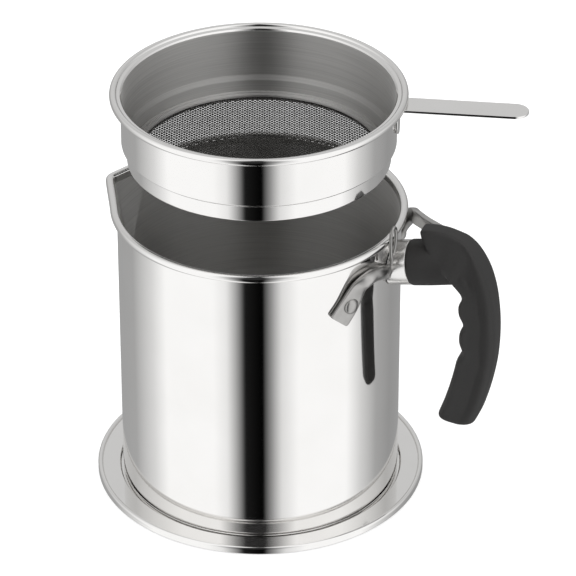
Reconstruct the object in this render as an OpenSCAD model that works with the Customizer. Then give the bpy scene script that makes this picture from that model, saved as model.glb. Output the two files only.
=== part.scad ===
// Grease pot with a lift-out strainer, standing on its own tray.
// The origin is the centre of the tray's underside. +Z is up, the handle points along +X
// and the pouring lip along -X.

/* [Tray] */
// Outside diameter over the rolled edge
tray_d = 148; // [144:1:180]
// Height of the rolled edge
tray_h = 3.4; // [3.2:0.1:5]
// Width of the rolled edge
tray_edge_w = 2.2; // [1.8:0.1:3]
// Height of the flat land round the pot
tray_land_h = 2.4; // [2.2:0.1:2.9]
// Sheet thickness of the tray
tray_t = 0.8; // [0.6:0.1:1.2]
// Gap between the pot and the edge of its recess
recess_gap = 1; // [0.5:0.1:2]

/* [Pot] */
// Outside diameter of the body
pot_d = 125; // [115:1:127]
// Height from the underside to the top of the rim
pot_h = 135.7; // [132:0.5:160]
// Sheet thickness of the body
pot_t = 0.8; // [0.6:0.1:1.2]
// Thickness of the floor
floor_t = 1; // [0.8:0.1:3]
// Outer radius of the bottom corner
corner_r = 2; // [1.5:0.5:4]
// Diameter of the rolled rim
pot_bead_d = 3.6; // [3:0.1:5]

/* [Pouring lip] */
// Half of the angle that the lip takes on the rim
lip_half = 27; // [20:1:32]
// How far the pressed lip runs down the wall
lip_drop = 42; // [20:1:60]
// Bend radius of the rolled rim at the lip's tip
tip_bend_r = 5; // [4:0.5:12]

/* [Handle] */
// Distance from the rim's top down to the neck's axis at the wall
neck_drop = 18.1; // [17.5:0.1:20.5]
// Angle by which the neck rises away from the pot
neck_rise = 11.2; // [8:0.2:13]
// Diameter of the neck
neck_d = 20.4; // [20.2:0.2:21]
// Distance from the wall to the ferrule
ferrule_gap = 0.4; // [0.3:0.1:1.6]
// Outside diameter of the ferrule
ferrule_d = 19.8; // [19:0.1:20.6]
// Length of the ferrule
ferrule_len = 6.3; // [5.5:0.1:8]
// Wall of the ferrule
ferrule_t = 0.9; // [0.6:0.1:1.2]
// Thickness of the ferrule's closed end
ferrule_end_t = 2.6; // [2:0.1:3.4]
// Width of the grip across its flat faces
grip_w = 18; // [16:0.5:19]
// Width of the grip at its lower end
grip_end_w = 15; // [12:0.5:18]
// Depth of the finger grooves
groove_depth = 1.6; // [0:0.1:2]
// Diameter of the stud
stud_d = 5; // [4:0.5:6]
// Length of the stud inside the grip
stud_len = 16; // [10:1:18]
// Length of the neck past the ferrule
neck_len = 22.5; // [20:0.5:24]
// Outside diameter of the threaded insert
insert_d = 8; // [7.5:0.5:9]

/* [Bracket arms] */
// Angle of each rivet from the handle
rivet_az = 32; // [30:0.5:34]
// Distance from the rim's top down to the rivets
rivet_drop = 22.9; // [22.5:0.1:26.5]
// Height of the front arm's bend above its rivet
front_rise = 11; // [9.5:0.1:11.6]
// Height of the rear arm's level stretch above its rivet
rear_rise = 19.2; // [17:0.1:19.4]
// Distance of the rear arm's end from the wall
rear_reach = 20.5; // [19:0.1:21.5]
// Diameter of the rod that the arms are made of
rod_d = 6; // [5.2:0.1:6.2]
// Width of the flattened end
plate_w = 10.8; // [10:0.2:11.4]
// Thickness of the flattened end
plate_t = 2; // [1.6:0.1:2.2]
// Diameter of a rivet's shank
rivet_d = 4; // [3:0.5:4.5]
// Diameter of a rivet's head
rivet_head_d = 7.2; // [6:0.2:7.6]
// Height of the domed outer head
rivet_head_h = 2; // [1.4:0.2:2.6]
// Height of the inner head
rivet_inner_h = 1.2; // [0.8:0.2:1.6]
// Wire diameter of the loop on the ferrule
loop_d = 1.5; // [1.2:0.1:2]

/* [Strainer] */
// How far the rolled rim reaches past the inside of the pot's wall
rim_over = 2.8; // [2.2:0.1:3.4]
// Diameter of the rolled rim
strainer_bead_d = 3.2; // [2.8:0.1:3.6]
// Gap between the strap's leg, on the upper band, and the inside of the pot's wall
leg_gap = 0.7; // [0.4:0.1:2]
// Depth of the upper band below the rim's centre
band_h = 22.6; // [20:0.2:30]
// How far the lower band is set in
lower_in = 2.3; // [1.6:0.1:6]
// Depth of the whole strainer below the rim's centre
strainer_h = 31.6; // [29:0.2:45]
// Height of the slope between the bands
step_h = 1.6; // [1:0.1:2.5]
// Sheet thickness of the strainer
strainer_t = 0.7; // [0.5:0.1:1]
// Width of the inward flange that carries the mesh
flange_w = 4.2; // [3:0.1:6]
// Height of the strainer above its seat, as it is shown
strainer_lift = 51; // [40:1:80]

/* [Mesh] */
// Thickness of the mesh
mesh_t = 0.6; // [0.4:0.1:0.8]
// Spacing of the gaps
mesh_pitch = 5.4; // [5.4:0.1:8]
// Width of the bars between the gaps
mesh_bar = 0.9; // [0.6:0.1:1.5]
// Height of the ring that clamps the mesh
ring_h = 1.3; // [1:0.1:2]

/* [Strainer handle] */
// Distance from the pot's axis to the strap's tip
strap_reach = 116.5; // [100:0.5:125]
// Width of the strap
strap_w = 12.4; // [10:0.2:13]
// Thickness of the strap
strap_t = 1.2; // [1:0.1:1.5]
// Angle of the strap from the pot's handle
strap_az = 13; // [13:0.5:40]
// Length of the leg that is welded to the band
leg_len = 14; // [10:0.5:16]

/* [Hidden] */
$fn = 96;

steel = "#c9c9c7";
brushed_steel = "#a9a8a5";
bakelite = "#242322";
brass = "#b8954a";

slip = 0.1;            // gap round a piece that is let into another
weld = 0.05;           // gap at a weld or under a rivet's shank
seat_gap = 0.3;        // gap that is left between the strainer and its seat

// Tray
tray_r = tray_d / 2;
recess_r = pot_d / 2 + recess_gap;

// Pot
pot_r = pot_d / 2;
pot_in_r = pot_r - pot_t;
pot_z = tray_t;                              // the pot stands in the tray's recess
rim_r = pot_in_r + slip + pot_bead_d / 2;    // centre line of the rolled rim
rim_z = pot_z + pot_h - pot_bead_d / 2;
rim_top = pot_z + pot_h;
neck_z = rim_top - neck_drop;                // height of the neck's axis at the wall
rivet_z = rim_top - rivet_drop;
leg_lap = 0.4;                               // how far the rim's legs run into its round parts
leg_slim = 0.05;                             // how much slimmer their radius is

// Neck: a cylinder whose axis starts at the ferrule's closed end
neck_x = pot_r + ferrule_gap + (ferrule_d / 2) * sin(neck_rise);
spigot_d = ferrule_d - 2 * ferrule_t - 2 * slip;

// Strainer, measured from the centre of its rolled rim
strainer_bead_r = strainer_bead_d / 2;
strainer_rim_r = pot_in_r + rim_over - strainer_bead_r;
band_r = pot_in_r - leg_gap - strap_t;       // outside of the upper band
lower_r = band_r - lower_in;                 // outside of the lower band
strap_top = -strainer_bead_r - weld;
strap_low = strap_top - strap_t;
seated_z = rim_top + seat_gap - strap_low;
shown_z = seated_z + strainer_lift;
mesh_r = lower_r - strainer_t - slip;
flange_r = lower_r - strainer_t - flange_w;
flange_z = -strainer_h + strainer_t;

// ---- helpers ----

function on_wall(p) = [p[2] * cos(p[0]), p[2] * sin(p[0]), p[1]];    // from [angle, height, radius]
function unit(v) = v / norm(v);

// Catmull-Rom curve through the list p, at u from 0 to len(p) - 1
function at(p, i) = p[max(0, min(len(p) - 1, i))];
function spline(p, u) =
    let(i = min(floor(u), len(p) - 2), t = u - i,
        a = at(p, i - 1), b = at(p, i), c = at(p, i + 1), d = at(p, i + 2))
    0.5 * ((2 * b) + (c - a) * t + (2 * a - 5 * b + 4 * c - d) * t * t
           + (3 * b - a - 3 * c + d) * t * t * t);

// Superellipse that is a circle at n = 2 and nearly a rectangle at n = 6
function power(v, n) = sign(v) * pow(abs(v), 2 / n);
function section(a, b, n, k) = [for (i = [0 : k - 1]) [a * power(cos(360 * i / k), n),
                                                       b * power(sin(360 * i / k), n)]];

// Closed solid through a list of rings that hold the same number of points
module skin(rings) {
    n = len(rings[0]);
    last = len(rings) - 1;
    sides = [for (j = [0 : last - 1], i = [0 : n - 1])
        each [[j * n + i, j * n + (i + 1) % n, (j + 1) * n + (i + 1) % n],
              [j * n + i, (j + 1) * n + (i + 1) % n, (j + 1) * n + i]]];
    start = [for (i = [1 : n - 2]) [0, i + 1, i]];
    end = [for (i = [1 : n - 2]) [last * n, last * n + i, last * n + i + 1]];
    polyhedron(points = [for (r = rings) each r], faces = concat(sides, start, end), convexity = 6);
}

// ---- tray ----

module tray() {
    edge_r = tray_edge_w / 2;
    color(steel) rotate_extrude($fn = 180) {
        square([recess_r + tray_t, tray_t]);
        translate([recess_r, 0]) square([tray_t, tray_land_h]);
        translate([recess_r, tray_land_h - tray_t]) square([tray_r - recess_r - edge_r, tray_t]);
        translate([tray_r - edge_r, tray_h - edge_r]) circle(edge_r, $fn = 48);
        translate([tray_r - tray_edge_w, 0]) square([tray_edge_w, tray_h - edge_r]);
    }
}

// ---- pot ----

// Plan of the pressed lip for a round of radius r: two legs tangent to the round and a rounded tip
function lip_tip(r) = r / cos(lip_half);
function lip_bend_at(r) = lip_tip(r) - lip_bend_r(r) / cos(lip_half);
function lip_bend_r(r) = tip_bend_r + r - rim_r;
function lip_plan(r) = concat([[-r * cos(lip_half), r * sin(lip_half)]],
    [for (a = [lip_half : -lip_half / 4 : -lip_half])
        [-lip_bend_at(r) - lip_bend_r(r) * cos(a), lip_bend_r(r) * sin(a)]],
    [[-r * cos(lip_half), -r * sin(lip_half)]]);

// Wedge over that plan, running down to a point on the wall
module lip_wedge(r, top) {
    plan = lip_plan(r);
    n = len(plan);
    polyhedron(points = concat([for (q = plan) [q[0], q[1], top]], [[-r, 0, rim_z - lip_drop]]),
               faces = concat([[for (i = [n - 1 : -1 : 0]) i]], [for (i = [0 : n - 1]) [i, (i + 1) % n, n]]));
}

module pot_outside() {
    rotate_extrude($fn = 180) {
        translate([0, pot_z]) square([pot_r - corner_r, rim_z - pot_z]);
        translate([0, pot_z + corner_r]) square([pot_r, rim_z - pot_z - corner_r]);
        translate([pot_r - corner_r, pot_z + corner_r]) circle(corner_r, $fn = 48);
    }
}

module rivet_hole(side) {
    rotate(side * rivet_az) translate([pot_in_r - rod_d, 0, rivet_z]) rotate([0, 90, 0])
        cylinder(d = rivet_d + 2 * weld, h = 3 * rod_d, $fn = 48);
}

// Rolled rim: round the pot, along both legs of the lip and round its tip. The legs are a
// hair thinner than the round parts and run a little way into them.
module pot_rim() {
    leg = (rim_r - tip_bend_r) * tan(lip_half);
    translate([0, 0, rim_z]) {
        rotate(180 + lip_half) rotate_extrude(angle = 360 - 2 * lip_half, $fn = 180)
            translate([rim_r, 0]) circle(d = pot_bead_d, $fn = 32);
        translate([-lip_bend_at(rim_r), 0, 0]) rotate(180 - lip_half)
            rotate_extrude(angle = 2 * lip_half, $fn = 180)
                translate([tip_bend_r, 0]) circle(d = pot_bead_d, $fn = 32);
        for (s = [-1, 1]) rotate(180 + s * lip_half) translate([rim_r, s * leg_lap, 0])
            rotate([s * 90, 0, 0])
                cylinder(d = pot_bead_d - 2 * leg_slim, h = leg + 2 * leg_lap, $fn = 32);
    }
}

module pot_shell() {
    color(steel) difference() {
        union() {
            difference() {
                union() {
                    pot_outside();
                    lip_wedge(pot_r, rim_z);
                }
                lip_wedge(pot_in_r, rim_z + 1);
                translate([0, 0, pot_z + floor_t]) cylinder(r = pot_in_r, h = pot_h, $fn = 180);
            }
            pot_rim();
        }
        for (s = [-1, 1]) rivet_hole(s);
    }
}

// ---- bracket arms ----

// Paths on the wall, as [angle from the handle, height, radius]
arm_r = pot_r + slip + rod_d / 2;
plate_r = pot_r + slip + plate_t / 2;
front_path = [[-4.5, neck_z + slip, arm_r + 2 * slip],
              [-9, rivet_z + 0.47 * front_rise, arm_r + slip],
              [-12.6, rivet_z + 0.7 * front_rise, arm_r + slip],
              [-17, rivet_z + 0.9 * front_rise, arm_r],
              [-21.5, rivet_z + front_rise, arm_r],
              [-25.5, rivet_z + 0.95 * front_rise, arm_r],
              [-28.6, rivet_z + 0.66 * front_rise, plate_r + 0.4 * plate_t],
              [-rivet_az - 0.8, rivet_z, plate_r], [-rivet_az - 4.8, rivet_z - 0.48 * plate_w, plate_r]];
// Ring sizes as [width along the wall, thickness, squareness] at the same points
front_size = [[rod_d, rod_d, 2], [rod_d, rod_d, 2], [rod_d, rod_d, 2], [rod_d, rod_d, 2],
              [rod_d, rod_d, 2], [rod_d * 1.1, rod_d * 0.95, 2], [plate_w * 0.84, plate_t * 1.4, 2.8],
              [plate_w, plate_t, 6], [plate_w, plate_t, 6]];
rear_path = [[4.6, rivet_z + rear_rise, pot_r + rear_reach],
             [8.6, rivet_z + rear_rise, pot_r + 0.64 * rear_reach],
             [13.4, rivet_z + rear_rise, pot_r + 0.35 * rear_reach],
             [18.5, rivet_z + 0.9 * rear_rise, pot_r + 0.25 * rear_reach],
             [23.5, rivet_z + 0.68 * rear_rise, pot_r + 0.18 * rear_reach],
             [28.6, rivet_z + 0.34 * rear_rise, plate_r + 0.4 * plate_t],
             [rivet_az + 0.8, rivet_z, plate_r], [rivet_az + 4.8, rivet_z - 0.48 * plate_w, plate_r]];
rear_bar = [rod_d * 1.06, rod_d * 0.6, 3];
rear_size = [rear_bar, rear_bar, rear_bar, rear_bar, [rod_d * 1.2, rod_d * 0.58, 3],
             [plate_w * 0.84, plate_t * 1.4, 2.8], [plate_w, plate_t, 6], [plate_w, plate_t, 6]];

arm_rings = 34;
arm_sides = 16;
nose_len = 1.6;                // length of an arm's rounded end
nose_flat = 0.7;               // share of its width that is left at the very end

// Ring at u along a path, lying across the path with its thickness pointing away from the wall
function arm_ring(path, size, u, grow) =
    let(p = spline(path, u), centre = on_wall(p),
        ahead = on_wall(spline(path, min(u + 0.02, len(path) - 1))),
        behind = on_wall(spline(path, max(u - 0.02, 0))),
        along = unit(ahead - behind),
        across = unit(cross(along, [cos(p[0]), sin(p[0]), 0])),
        away = cross(across, along),
        s = spline(size, u))
    [for (q = section(s[0] / 2 + grow, s[1] / 2 + grow, s[2], arm_sides))
        centre + q[0] * across + q[1] * away];

module arm(path, size, grow = 0) {
    last = len(path) - 1;
    foot = on_wall(path[last]);
    along = unit(foot - on_wall(spline(path, last - 0.02)));
    edge = arm_ring(path, size, last, grow);
    bar = [for (i = [0 : arm_rings]) arm_ring(path, size, last * i / arm_rings, grow)];
    nose = [for (a = [20 : 20 : 80]) [for (q = edge)
        foot + along * nose_len * sin(a) + (q - foot) * (nose_flat + (1 - nose_flat) * cos(a))]];
    skin(concat(bar, nose));
}

// Flat that a rivet's head presses into the plate
rivet_face = plate_r + plate_t / 2 - slip;
module rivet_seat(side) {
    rotate(side * rivet_az) translate([rivet_face, 0, rivet_z]) rotate([0, 90, 0])
        cylinder(d = rivet_head_d + 4 * slip, h = plate_t, $fn = 48);
}

module front_arm() {
    color(steel) difference() {
        arm(front_path, front_size);
        rivet_hole(-1);
        rivet_seat(-1);
    }
}

module rear_arm() {
    color(steel) difference() {
        arm(rear_path, rear_size);
        rivet_hole(1);
        rivet_seat(1);
    }
}

// Radius of the sphere that a domed head of this diameter and height is cut from
function dome_r(d, h) = (pow(d / 2, 2) + pow(h, 2)) / (2 * h);
head_sag = pow(rivet_head_d / 2, 2) / (2 * pot_in_r);    // how far the wall curves away at a head's edge

// Solid rivet: domed head outside, shank through arm and wall, flatter head inside
module rivet(side) {
    outer_r = dome_r(rivet_head_d, rivet_head_h);
    inner_r = dome_r(rivet_head_d, rivet_inner_h);
    shank_from = pot_in_r - rivet_inner_h / 2;
    rotate(side * rivet_az) translate([0, 0, rivet_z]) rotate([0, 90, 0]) {
        translate([0, 0, shank_from]) cylinder(d = rivet_d, h = rivet_face - shank_from, $fn = 48);
        intersection() {
            translate([0, 0, rivet_face + rivet_head_h - outer_r]) sphere(outer_r, $fn = 64);
            translate([0, 0, rivet_face]) cylinder(d = rivet_head_d, h = rivet_head_h, $fn = 48);
        }
        translate([0, 0, pot_in_r - rivet_inner_h]) intersection() {
            translate([0, 0, inner_r]) sphere(inner_r, $fn = 64);
            cylinder(d = rivet_head_d, h = rivet_inner_h - head_sag - weld, $fn = 48);
        }
    }
}

module front_rivet() { color(steel) rivet(-1); }
module rear_rivet() { color(steel) rivet(1); }

// ---- handle ----

module on_neck() {
    translate([neck_x, 0, neck_z + (neck_x - pot_r) * tan(neck_rise)]) rotate([0, 90 - neck_rise, 0])
        children();
}

ferrule_back = 1.4;            // how far it reaches back before it is trimmed round to the wall
module handle_ferrule() {
    color(steel) difference() {
        on_neck() translate([0, 0, -ferrule_back]) difference() {
            cylinder(d = ferrule_d, h = ferrule_len + ferrule_back, $fn = 72);
            translate([0, 0, ferrule_end_t + ferrule_back])
                cylinder(d = ferrule_d - 2 * ferrule_t, h = ferrule_len + 1, $fn = 72);
        }
        cylinder(r = pot_r + ferrule_gap, h = rim_top, $fn = 180);
        arm(front_path, front_size, slip);
    }
}

module tang_stud() {
    color(steel) on_neck() translate([0, 0, ferrule_end_t]) cylinder(d = stud_d, h = stud_len, $fn = 48);
}

module grip_insert() {
    color(brass) on_neck() translate([0, 0, ferrule_end_t + 1]) difference() {
        cylinder(d = insert_d, h = stud_len, $fn = 48);
        translate([0, 0, -1]) cylinder(d = stud_d, h = stud_len, $fn = 48);
    }
}

// Side view of the grip: outer and inner edge at each station, as [x, z] from the neck's start
grip_outer = [[11.6, 19.8], [16, 20.6], [22, 20.6], [27.6, 19.4], [32.2, 17.4], [36.9, 12.2], [41.6, 3.6],
              [44.8, -6.4], [46.6, -18.4], [47.1, -30.4], [46.3, -42.4], [44.2, -54.4],
              [41.4, -65], [38.6, -72]];
grip_inner = [[12.6, 16], [15.6, 11.4], [20.2, 6.6], [24.4, 2.6], [27.4, -0.6], [29.6, -4], [30.4, -8.4],
              [30.5, -14.4], [30.8, -21.4], [30.9, -28.4], [30.5, -36.4], [28.3, -48.4],
              [25.1, -60.6], [21.9, -70.2]];
grip_x = 1.1;                  // distance of the stations' start from the wall
grip_square = 3.6;             // squareness of the grip's section
grip_rings = 52;
grip_sides = 28;
groove_from = -0.2;            // height at which the finger grooves start, from the neck's start
groove_pitch = 14.2;
grooves = 3;
grip_start_len = 0.8;          // length and share of the size of the bevel at the upper end
grip_start_flat = 0.8;
grip_end_len = 3.2;            // length and share of the size of the rounded lower end
grip_end_flat = 0.35;

function grip_origin() = [pot_r + grip_x, neck_z];
function grip_half_w(u) = (grip_w + (grip_end_w - grip_w) * pow(u / (len(grip_outer) - 1), 3)) / 2;
function groove(z) = z < groove_from && z > groove_from - grooves * groove_pitch
    ? groove_depth * (1 - cos(360 * (z - groove_from) / groove_pitch)) / 2 : 0;
function grip_ring(u, shrink) =
    let(o = spline(grip_outer, u), i = spline(grip_inner, u) + [groove(spline(grip_inner, u)[1]), 0],
        mid = (o + i) / 2, half = (o - i) / 2 * shrink, w = grip_half_w(u) * shrink)
    [for (q = section(1, 1, grip_square, grip_sides))
        let(p = grip_origin() + mid + q[0] * half) [p[0], q[1] * w, p[1]]];

module grip_body() {
    last = len(grip_outer) - 1;
    tip = (grip_outer[last] + grip_inner[last]) / 2 - (grip_outer[last - 1] + grip_inner[last - 1]) / 2;
    start = [-grip_start_len, 0, grip_start_len / 4];
    end = unit([tip[0], 0, tip[1]]) * grip_end_len;
    skin(concat([[for (p = grip_ring(0, grip_start_flat)) p + start]],
                [for (k = [0 : grip_rings]) grip_ring(last * k / grip_rings, 1)],
                [for (a = [25 : 25 : 75]) let(shrink = grip_end_flat + (1 - grip_end_flat) * cos(a))
                    [for (p = grip_ring(last, shrink)) p + end * sin(a)]]));
}

module handle_grip() {
    color(bakelite) difference() {
        union() {
            grip_body();
            on_neck() translate([0, 0, ferrule_len + slip]) cylinder(d = neck_d, h = neck_len, $fn = 72);
            on_neck() translate([0, 0, ferrule_end_t + slip])
                cylinder(d = spigot_d, h = ferrule_len, $fn = 72);
        }
        on_neck() translate([0, 0, ferrule_end_t]) cylinder(d = insert_d, h = stud_len + 1, $fn = 48);
        arm(front_path, front_size, slip);
        arm(rear_path, rear_size, slip);
    }
}

// Small wire loop on the ferrule, standing just outside the rim
loop_r = 2.2;                  // radius of the loop's bow
loop_clear = 0.4;              // distance from the rim
loop_az = -9.5;                // angle from the handle
loop_rise = 3.4;               // from the rim's top to the centre of the bow
loop_leg = 16;                 // length of its legs, which end on the ferrule

module rim_loop() {
    loop_x = rim_r + pot_bead_d / 2 + loop_clear + loop_d / 2;
    color(steel) difference() {
        rotate(loop_az) translate([loop_x, 0, rim_top + loop_rise]) {
            rotate([90, 0, 90]) rotate_extrude(angle = 180, $fn = 48)
                translate([loop_r, 0]) circle(d = loop_d, $fn = 20);
            for (s = [-1, 1]) translate([0, s * loop_r, -loop_leg])
                cylinder(d = loop_d, h = loop_leg, $fn = 20);
        }
        on_neck() translate([0, 0, -ferrule_back])
            cylinder(d = ferrule_d + slip, h = ferrule_len + ferrule_back + slip, $fn = 72);
    }
}

// ---- strainer ----

module strainer_shell() {
    t = strainer_t;
    color(steel) translate([0, 0, shown_z]) rotate_extrude($fn = 180) {
        translate([strainer_rim_r, 0]) circle(strainer_bead_r, $fn = 32);
        polygon([[strainer_rim_r, t / 2], [band_r - t, t / 2], [band_r - t, -band_h + t / 2],
                 [lower_r - t, -band_h - step_h + t / 2], [lower_r - t, flange_z], [flange_r, flange_z],
                 [flange_r, -strainer_h], [lower_r, -strainer_h], [lower_r, -band_h - step_h],
                 [band_r, -band_h], [band_r, -t / 2], [strainer_rim_r, -t / 2]]);
    }
}

// Flat net: a disc with square gaps between its bars
module strainer_mesh() {
    gap = mesh_pitch - mesh_bar;
    clear_r = flange_r - mesh_bar;
    n = floor(clear_r / mesh_pitch);
    color(brushed_steel) translate([0, 0, shown_z + flange_z]) linear_extrude(mesh_t) difference() {
        circle(mesh_r, $fn = 180);
        for (i = [-n : n], j = [-n : n])
            if (norm([abs(i) * mesh_pitch + gap / 2, abs(j) * mesh_pitch + gap / 2]) < clear_r)
                translate([i * mesh_pitch, j * mesh_pitch]) square(gap, center = true);
    }
}

module mesh_ring() {
    round = 0.5;
    color(steel) translate([0, 0, shown_z + flange_z + mesh_t]) rotate_extrude($fn = 180) {
        translate([flange_r, 0]) square([mesh_r - flange_r, ring_h - round]);
        translate([flange_r + round, 0]) square([mesh_r - flange_r - round, ring_h]);
        translate([flange_r + round, ring_h - round]) circle(round, $fn = 24);
    }
}

// Flat strap with a rounded tip, and a leg that is bent down and spot-welded to the band
module strainer_handle() {
    half_w = strap_w / 2;
    straight = strap_reach - half_w - band_r;
    color(steel) translate([0, 0, shown_z]) rotate(strap_az) difference() {
        union() {
            translate([0, 0, strap_low]) linear_extrude(strap_t) union() {
                translate([band_r - strap_t, -half_w]) square([straight + strap_t, strap_w]);
                translate([band_r + straight, 0]) circle(half_w, $fn = 64);
            }
            intersection() {
                translate([0, 0, strap_top - leg_len]) cylinder(r = band_r + strap_t, h = leg_len, $fn = 180);
                rotate([90, 0, 90]) linear_extrude(strap_reach) union() {
                    translate([-half_w, strap_top - leg_len + half_w]) square([strap_w, leg_len]);
                    translate([0, strap_top - leg_len + half_w]) circle(half_w, $fn = 64);
                }
            }
        }
        translate([0, 0, -strainer_h]) cylinder(r = band_r, h = 2 * strainer_h, $fn = 180);
    }
}

tray();
pot_shell();
handle_ferrule();
tang_stud();
grip_insert();
handle_grip();
front_arm();
rear_arm();
front_rivet();
rear_rivet();
rim_loop();
strainer_shell();
strainer_mesh();
mesh_ring();
strainer_handle();
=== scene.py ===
"""Grease pot with a lift-out strainer on its tray, dressed in polished steel, woven wire and bakelite."""
import math
import bmesh
import bpy
import numpy as np
from bpy.props import FloatProperty, FloatVectorProperty, PointerProperty, StringProperty
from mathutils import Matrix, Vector


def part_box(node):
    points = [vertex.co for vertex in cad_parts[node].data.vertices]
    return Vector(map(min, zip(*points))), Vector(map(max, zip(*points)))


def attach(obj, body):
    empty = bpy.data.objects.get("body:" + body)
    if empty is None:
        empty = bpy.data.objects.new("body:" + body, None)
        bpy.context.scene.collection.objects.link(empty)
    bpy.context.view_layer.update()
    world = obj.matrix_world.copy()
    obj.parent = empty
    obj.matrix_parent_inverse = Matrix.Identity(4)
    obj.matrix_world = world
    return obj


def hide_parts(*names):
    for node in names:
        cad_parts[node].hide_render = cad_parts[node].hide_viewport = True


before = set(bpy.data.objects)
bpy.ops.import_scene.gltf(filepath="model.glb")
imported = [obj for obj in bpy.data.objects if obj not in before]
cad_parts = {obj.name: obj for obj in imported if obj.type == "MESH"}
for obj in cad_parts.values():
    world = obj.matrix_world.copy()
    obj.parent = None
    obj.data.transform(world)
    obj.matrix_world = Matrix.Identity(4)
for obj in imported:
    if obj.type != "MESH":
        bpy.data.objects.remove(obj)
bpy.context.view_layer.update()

bl_info = {
    "name": "Grease pot",
    "version": (1, 0, 0),
    "blender": (4, 5, 0),
    "location": "View3D > Sidebar > Grease pot",
    "description": "Makes the visible surfaces and the finishes of a grease pot with its strainer and tray",
    "category": "Object",
}

MM = 0.001
FULL_TURN = 2 * math.pi

TRAY_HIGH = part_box("tray")[1]
POT_LOW, POT_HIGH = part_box("pot_shell")
BOWL_LOW, BOWL_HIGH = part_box("strainer_shell")
RING_LOW, RING_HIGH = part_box("mesh_ring")
STRAP_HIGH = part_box("strainer_handle")[1]


# ---- sizes and colours that a user would change ----


def size(name, description, default):
    """A length in metres, shown in the scene's own unit."""
    return FloatProperty(name=name, description=description, default=default, unit="LENGTH", precision=5)


def degrees(name, description, default):
    """An angle given in degrees and kept in radians."""
    return FloatProperty(name=name, description=description, default=math.radians(default), subtype="ANGLE")


def tint(name, description, default):
    """A colour written as an sRGB hex value."""
    return StringProperty(name=name, description=description, default=default)


class TraySizes(bpy.types.PropertyGroup):
    radius: size("Radius", "Outside radius over the rolled edge", TRAY_HIGH.x)
    height: size("Height", "Height of the rolled edge", TRAY_HIGH.z)
    edge: size("Rolled edge", "Width of the rolled edge", 0.0022)
    land: size("Land", "Height of the flat land round the pot", 0.0024)
    recess: size("Recess", "Radius of the recess that the pot stands in", 0.0635)
    sheet: size("Sheet", "Thickness of the tray's sheet", 0.0008)


class PotSizes(bpy.types.PropertyGroup):
    foot: size("Foot", "Height of the pot's underside", POT_LOW.z)
    top: size("Top", "Height of the top of the rim", POT_HIGH.z)
    inside: size("Inside radius", "Radius of the inside of the wall", 0.0617)
    wall: size("Wall", "Thickness of the wall", 0.0008)
    floor: size("Floor", "Thickness of the floor", 0.001)
    corner: size("Corner", "Outer radius of the bottom corner", 0.002)
    rim: size("Rim", "Radius of the rolled rim", 0.0018)
    lip_half: degrees("Lip half angle", "Half of the angle that the lip takes on the rim", 27)
    lip_drop: size("Lip drop", "How far the pressed lip runs down the wall", 0.042)


class HandleSizes(bpy.types.PropertyGroup):
    neck_x: size("Neck start", "Distance of the ferrule's closed end from the pot's axis", 0.06482)
    neck_z: size("Neck height", "Height of the neck's axis at the wall", 0.1184)
    neck_rise: degrees("Neck rise", "Angle by which the neck rises away from the pot", 11.2)
    neck: size("Neck", "Radius of the neck", 0.0102)
    ferrule: size("Ferrule", "Outside radius of the ferrule", 0.0099)
    ferrule_length: size("Ferrule length", "Length of the ferrule", 0.0063)
    groove: size("Groove", "Depth of the finger grooves", 0.0019)
    rod: size("Rod", "Diameter of the rod that the arms are made of", 0.006)
    plate: size("Plate", "Width of the flattened end of an arm", 0.0108)
    plate_sheet: size("Plate thickness", "Thickness of the flattened end of an arm", 0.002)
    rivet_turn: degrees("Rivet angle", "Angle of each rivet from the handle", 32)
    rivet_z: size("Rivet height", "Height of the rivets", 0.1136)
    rivet_head: size("Rivet head", "Radius of a rivet's heads", 0.0036)


class StrainerSizes(bpy.types.PropertyGroup):
    rim_z: size("Rim height", "Height of the centre of the rolled rim", BOWL_HIGH.z - 0.0016)
    rim: size("Rim", "Radius of the rolled rim", 0.0016)
    outside: size("Outside radius", "Outside radius over the rolled rim", BOWL_HIGH.y)
    band: size("Upper band", "Outside radius of the upper band", 0.0598)
    band_drop: size("Upper band depth", "Depth of the upper band below the rim's centre", 0.0226)
    lower: size("Lower band", "Outside radius of the lower band", 0.0575)
    step: size("Step", "Height of the slope between the bands", 0.0016)
    foot: size("Foot", "Height of the underside of the flange", BOWL_LOW.z)
    sheet: size("Sheet", "Thickness of the sheet", 0.0007)
    flange: size("Flange", "Inner radius of the flange that carries the mesh", 0.0526)
    wire: size("Wire", "Diameter of the wires", 0.00046)
    pitch: size("Pitch", "Spacing of the wires", 0.0011)
    weave_turn: degrees("Weave angle", "Angle of the wires from the pot's handle", 20)
    strap_turn: degrees("Strap angle", "Angle of the strap from the pot's handle", 13)
    strap_reach: size("Strap reach", "Distance from the pot's axis to the strap's tip", 0.1165)
    strap_width: size("Strap width", "Width of the strap", 0.0124)
    strap_sheet: size("Strap thickness", "Thickness of the strap", 0.0012)
    leg: size("Leg", "Length of the leg that is welded to the band", 0.014)


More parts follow.
